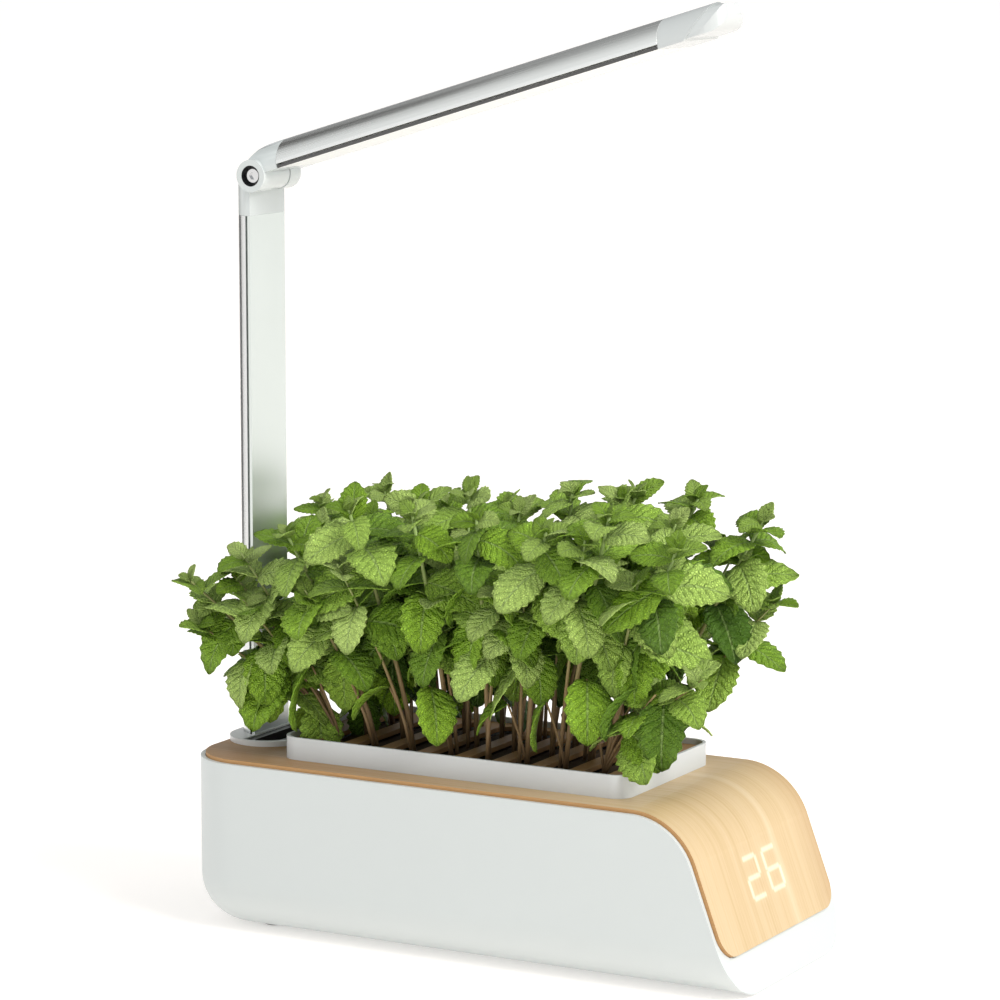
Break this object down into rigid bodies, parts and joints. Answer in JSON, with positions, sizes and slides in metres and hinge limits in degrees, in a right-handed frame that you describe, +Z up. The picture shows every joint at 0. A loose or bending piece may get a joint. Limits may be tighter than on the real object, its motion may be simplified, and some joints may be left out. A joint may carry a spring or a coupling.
{
  "type": "countertop hydroponic garden",
  "caption": "Countertop hydroponic garden: a tub under an S-curved wood cover, a lift-out planting tray with rows of mint, and a tilting grow-light arm on a post.",
  "frame": {"origin": "middle of the central foot, on the surface that the tub stands on", "axes": "+Z up, +X towards the sloping display end, Y across the tub"},
  "size_m": [0.3505, 0.1483, 0.5048],
  "materials": {
    "shell_white": "satin white moulding",
    "cover_wood": "light beech veneer with a satin clear coat",
    "foot_rubber": "grey rubber",
    "screw_steel": "zinc plated",
    "tank_grey": "light grey moulding",
    "pump_black": "black moulding",
    "pump_grey": "dark grey moulding",
    "impeller_white": "white moulding",
    "shaft_steel": "ground steel",
    "hose_rubber": "soft translucent tube",
    "socket_white": "glossy white moulding",
    "satin_aluminium": "satin anodised",
    "polished_panel": "mirror polished",
    "hinge_white": "glossy white moulding",
    "washer_dark": "dark friction fibre",
    "screw_chrome": "chromed",
    "insert_brass": "turned brass",
    "arm_aluminium": "satin anodised",
    "board_white": "white coated circuit board",
    "led_lens": "yellow lens",
    "diffuser_white": "milky translucent",
    "tray_white": "white moulding",
    "deck_brown": "brown wood-look deck",
    "medium_brown": "dark brown fibre sponge",
    "mint_green": "soft green leaves",
    "board_green": "green circuit board",
    "guide_clear": "lit light guides",
    "chip_black": "black components",
    "inlet_black": "black inlet"
  },
  "bodies": {
    "base": {"tub": "shell_white", "wood_cover": "cover_wood", "feet": "foot_rubber", "service_hatch": "shell_white", "hatch_screws": "screw_steel", "water_tank": "tank_grey", "pump_body": "pump_black", "pump_strainer": "pump_grey", "pump_shaft": "shaft_steel", "riser_hose": "hose_rubber", "filler_socket": "socket_white", "socket_clamp": "tank_grey", "clamp_screws": "screw_steel", "post_extrusion": "satin_aluminium", "post_panel": "polished_panel", "hinge_base": "hinge_white", "friction_washers": "washer_dark", "display_board": "board_green", "display_light_guides": "guide_clear", "control_board": "board_green", "control_chips": "chip_black", "dc_inlet": "inlet_black", "inlet_pin": "shaft_steel", "button_switch": "chip_black"},
    "arm": {"arm_knuckle": "hinge_white", "hinge_screw": "screw_chrome", "hinge_insert": "insert_brass", "arm_extrusion": "arm_aluminium", "led_board": "board_white", "led_chips": "led_lens", "diffuser": "diffuser_white", "arm_end_cap": "hinge_white"},
    "tray": {"planting_tray": "tray_white", "grow_deck": "deck_brown", "grow_medium": "medium_brown", "plant_row_1": "mint_green", "plant_row_2": "mint_green", "plant_row_3": "mint_green", "plant_row_4": "mint_green", "plant_row_5": "mint_green", "plant_row_6": "mint_green", "plant_row_7": "mint_green", "plant_row_8": "mint_green"},
    "impeller": {"pump_impeller": "impeller_white"},
    "button": {"power_button": "hinge_white"}
  },
  "joints": [
    {"name": "arm_tilt", "type": "hinge", "parent": "base", "child": "arm", "pos_m": [-0.1503, 0, 0.408], "axis": [0, -1, 0], "range_deg": [-35, 73]},
    {"name": "tray_lift", "type": "slide", "parent": "base", "child": "tray", "axis": [0, 0, 1], "range_m": [0, 0.044]},
    {"name": "pump_spin", "type": "hinge", "parent": "base", "child": "impeller", "pos_m": [-0.088, 0, 0.0206], "axis": [1, 0, 0], "continuous": true},
    {"name": "power_button_press", "type": "slide", "parent": "base", "child": "button", "axis": [1, 0, 0], "range_m": [0, 0.0008], "stiffness_N_per_m": 1500, "springref_m": -0.0005}
  ]
}
